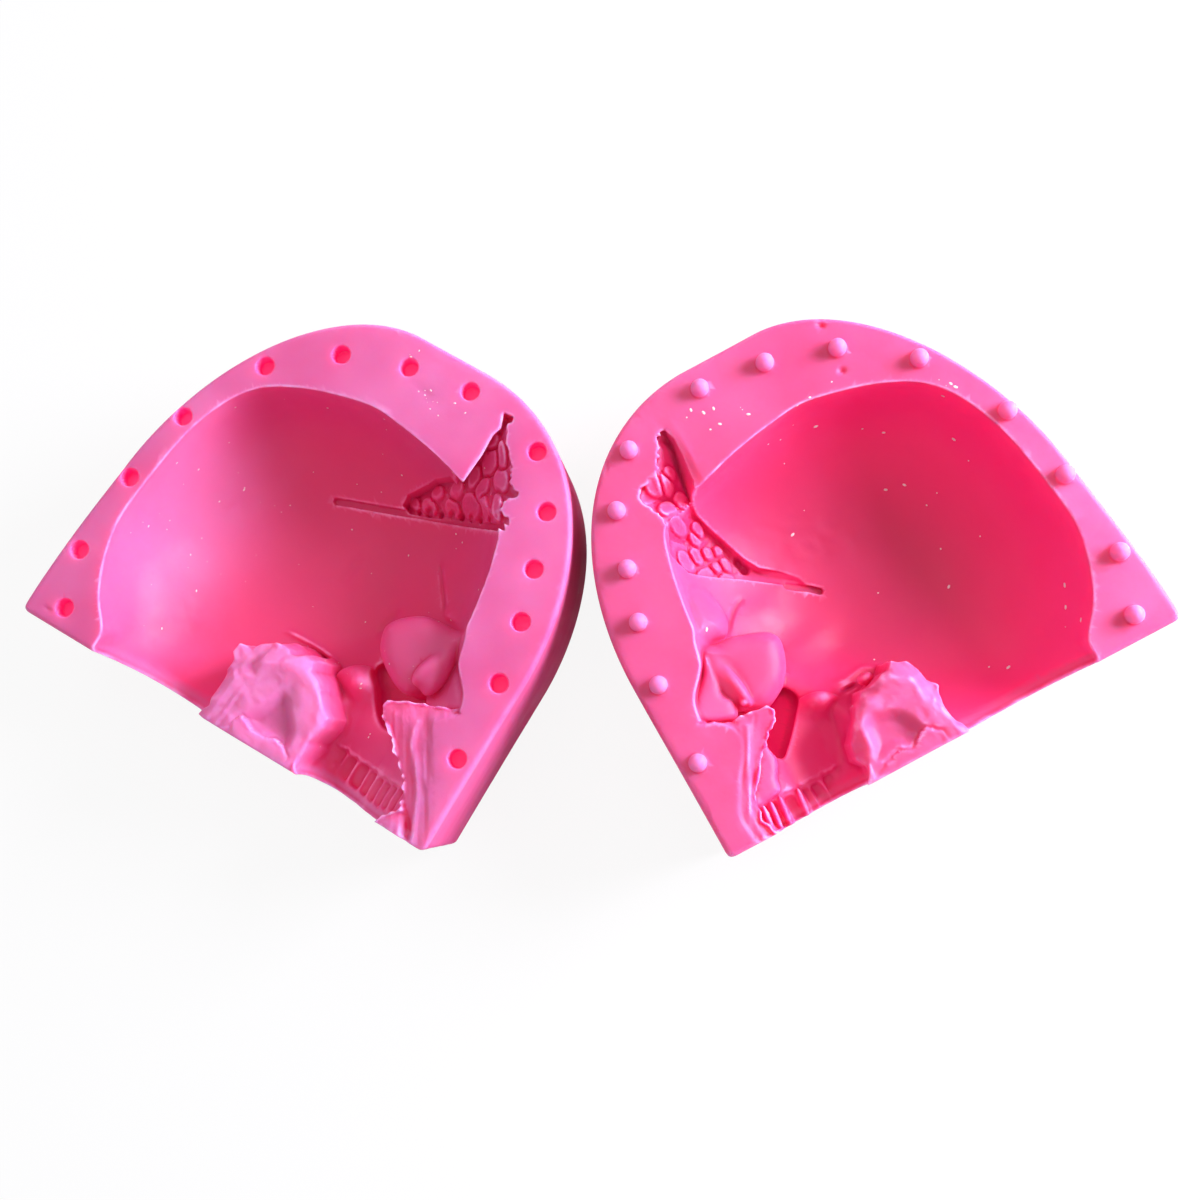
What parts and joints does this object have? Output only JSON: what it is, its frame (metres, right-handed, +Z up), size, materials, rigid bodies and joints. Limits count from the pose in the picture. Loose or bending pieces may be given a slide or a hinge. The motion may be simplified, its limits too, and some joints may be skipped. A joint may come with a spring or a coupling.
{
  "type": "silicone skull mould",
  "caption": "Two-part flexible mould with a skull-and-tiara hollow; round pegs on one parting face fit blind sockets in the other.",
  "frame": {"origin": "on the floor, under the middle of the opened pair of halves", "axes": "+Z up, out of both parting faces; +X from the half with sockets to the half with pegs; +Y away from the pour ends, towards the crown of the skull"},
  "size_m": [0.3416, 0.1594, 0.0524],
  "materials": {
    "silicone": "satin, slightly translucent pink silicone"
  },
  "bodies": {
    "socket_half": {"socket_half": "silicone"},
    "peg_half": {"peg_half": "silicone"}
  },
  "joints": [
    {"name": "close_over", "type": "hinge", "parent": "socket_half", "child": "peg_half", "pos_m": [0, 0, 0.04815], "axis": [0, -1, 0], "range_deg": [0, 180]}
  ]
}
